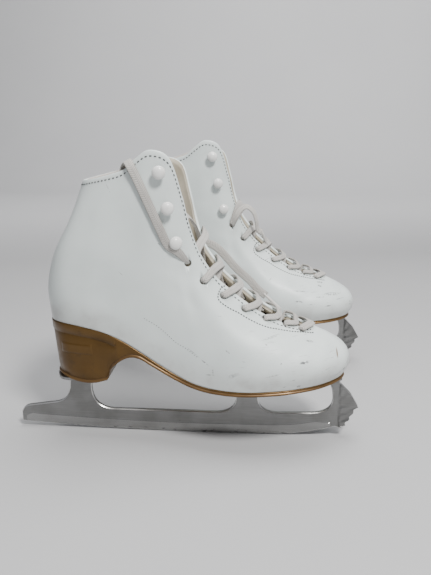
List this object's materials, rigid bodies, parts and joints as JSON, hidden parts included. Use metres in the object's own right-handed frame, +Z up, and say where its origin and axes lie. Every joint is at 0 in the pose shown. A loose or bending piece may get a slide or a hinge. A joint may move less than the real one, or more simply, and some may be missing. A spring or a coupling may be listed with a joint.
{
  "type": "pair of figure skates",
  "caption": "Pair of white lace-up figure skates with padded boots, moulded heels and steel blades with toe picks.",
  "frame": {"origin": "the point on the ice under the middle of the pair's bounding box, between the two blades", "axes": "+X towards the toes, +Y from the right skate to the left skate, +Z up from the ice"},
  "size_m": [0.3138, 0.2766, 0.2396],
  "materials": {
    "white_leather": "smooth coated leather, light scuffs",
    "lining_fabric": "soft brushed textile",
    "stiffener_board": "fibre board",
    "tongue_leather": "soft padded leather",
    "gold_sole": "satin metallic paint",
    "blade_steel": "satin ground steel",
    "plate_steel": "satin steel",
    "screw_steel": "bright steel",
    "white_enamel": "gloss enamel",
    "lace_cotton": "flat woven cotton"
  },
  "bodies": {
    "right_skate": {"right_upper": "white_leather", "right_lining": "lining_fabric", "right_heel_counter": "stiffener_board", "right_toe_puff": "stiffener_board", "right_tongue_base": "tongue_leather", "right_footbed": "lining_fabric", "right_lasting_board": "stiffener_board", "right_heel_and_outsole": "gold_sole", "right_blade": "blade_steel", "right_sole_plate": "plate_steel", "right_heel_plate": "plate_steel", "right_heel_screw_1": "screw_steel", "right_heel_screw_2": "screw_steel", "right_heel_screw_3": "screw_steel", "right_heel_screw_4": "screw_steel", "right_sole_screw_1": "screw_steel", "right_sole_screw_2": "screw_steel", "right_sole_screw_3": "screw_steel", "right_sole_screw_4": "screw_steel", "right_sole_screw_5": "screw_steel", "right_sole_screw_6": "screw_steel", "right_outer_hook_1": "white_enamel", "right_inner_hook_1": "white_enamel", "right_outer_hook_2": "white_enamel", "right_inner_hook_2": "white_enamel", "right_outer_hook_3": "white_enamel", "right_inner_hook_3": "white_enamel", "right_lace": "lace_cotton", "right_lace_hank": "lace_cotton"},
    "right_tongue": {"right_tongue": "tongue_leather"},
    "left_skate": {"left_upper": "white_leather", "left_lining": "lining_fabric", "left_heel_counter": "stiffener_board", "left_toe_puff": "stiffener_board", "left_tongue_base": "tongue_leather", "left_footbed": "lining_fabric", "left_lasting_board": "stiffener_board", "left_heel_and_outsole": "gold_sole", "left_blade": "blade_steel", "left_sole_plate": "plate_steel", "left_heel_plate": "plate_steel", "left_heel_screw_1": "screw_steel", "left_heel_screw_2": "screw_steel", "left_heel_screw_3": "screw_steel", "left_heel_screw_4": "screw_steel", "left_sole_screw_1": "screw_steel", "left_sole_screw_2": "screw_steel", "left_sole_screw_3": "screw_steel", "left_sole_screw_4": "screw_steel", "left_sole_screw_5": "screw_steel", "left_sole_screw_6": "screw_steel", "left_outer_hook_1": "white_enamel", "left_inner_hook_1": "white_enamel", "left_outer_hook_2": "white_enamel", "left_inner_hook_2": "white_enamel", "left_outer_hook_3": "white_enamel", "left_inner_hook_3": "white_enamel", "left_lace": "lace_cotton", "left_lace_hank": "lace_cotton"},
    "left_tongue": {"left_tongue": "tongue_leather"}
  },
  "joints": [
    {"name": "left_skate_lift", "type": "slide", "parent": "right_skate", "child": "left_skate", "axis": [0, 0, 1], "range_m": [0, 0.15]},
    {"name": "right_tongue_fold", "type": "hinge", "parent": "right_skate", "child": "right_tongue", "pos_m": [-0.00125, -0.09344, 0.1564], "axis": [0, 1, 0], "range_deg": [0, 7], "stiffness_Nm_per_rad": 0.5},
    {"name": "left_tongue_fold", "type": "hinge", "parent": "left_skate", "child": "left_tongue", "pos_m": [0.02325, 0.08326, 0.1564], "axis": [0, 1, 0], "range_deg": [0, 7], "stiffness_Nm_per_rad": 0.5}
  ]
}
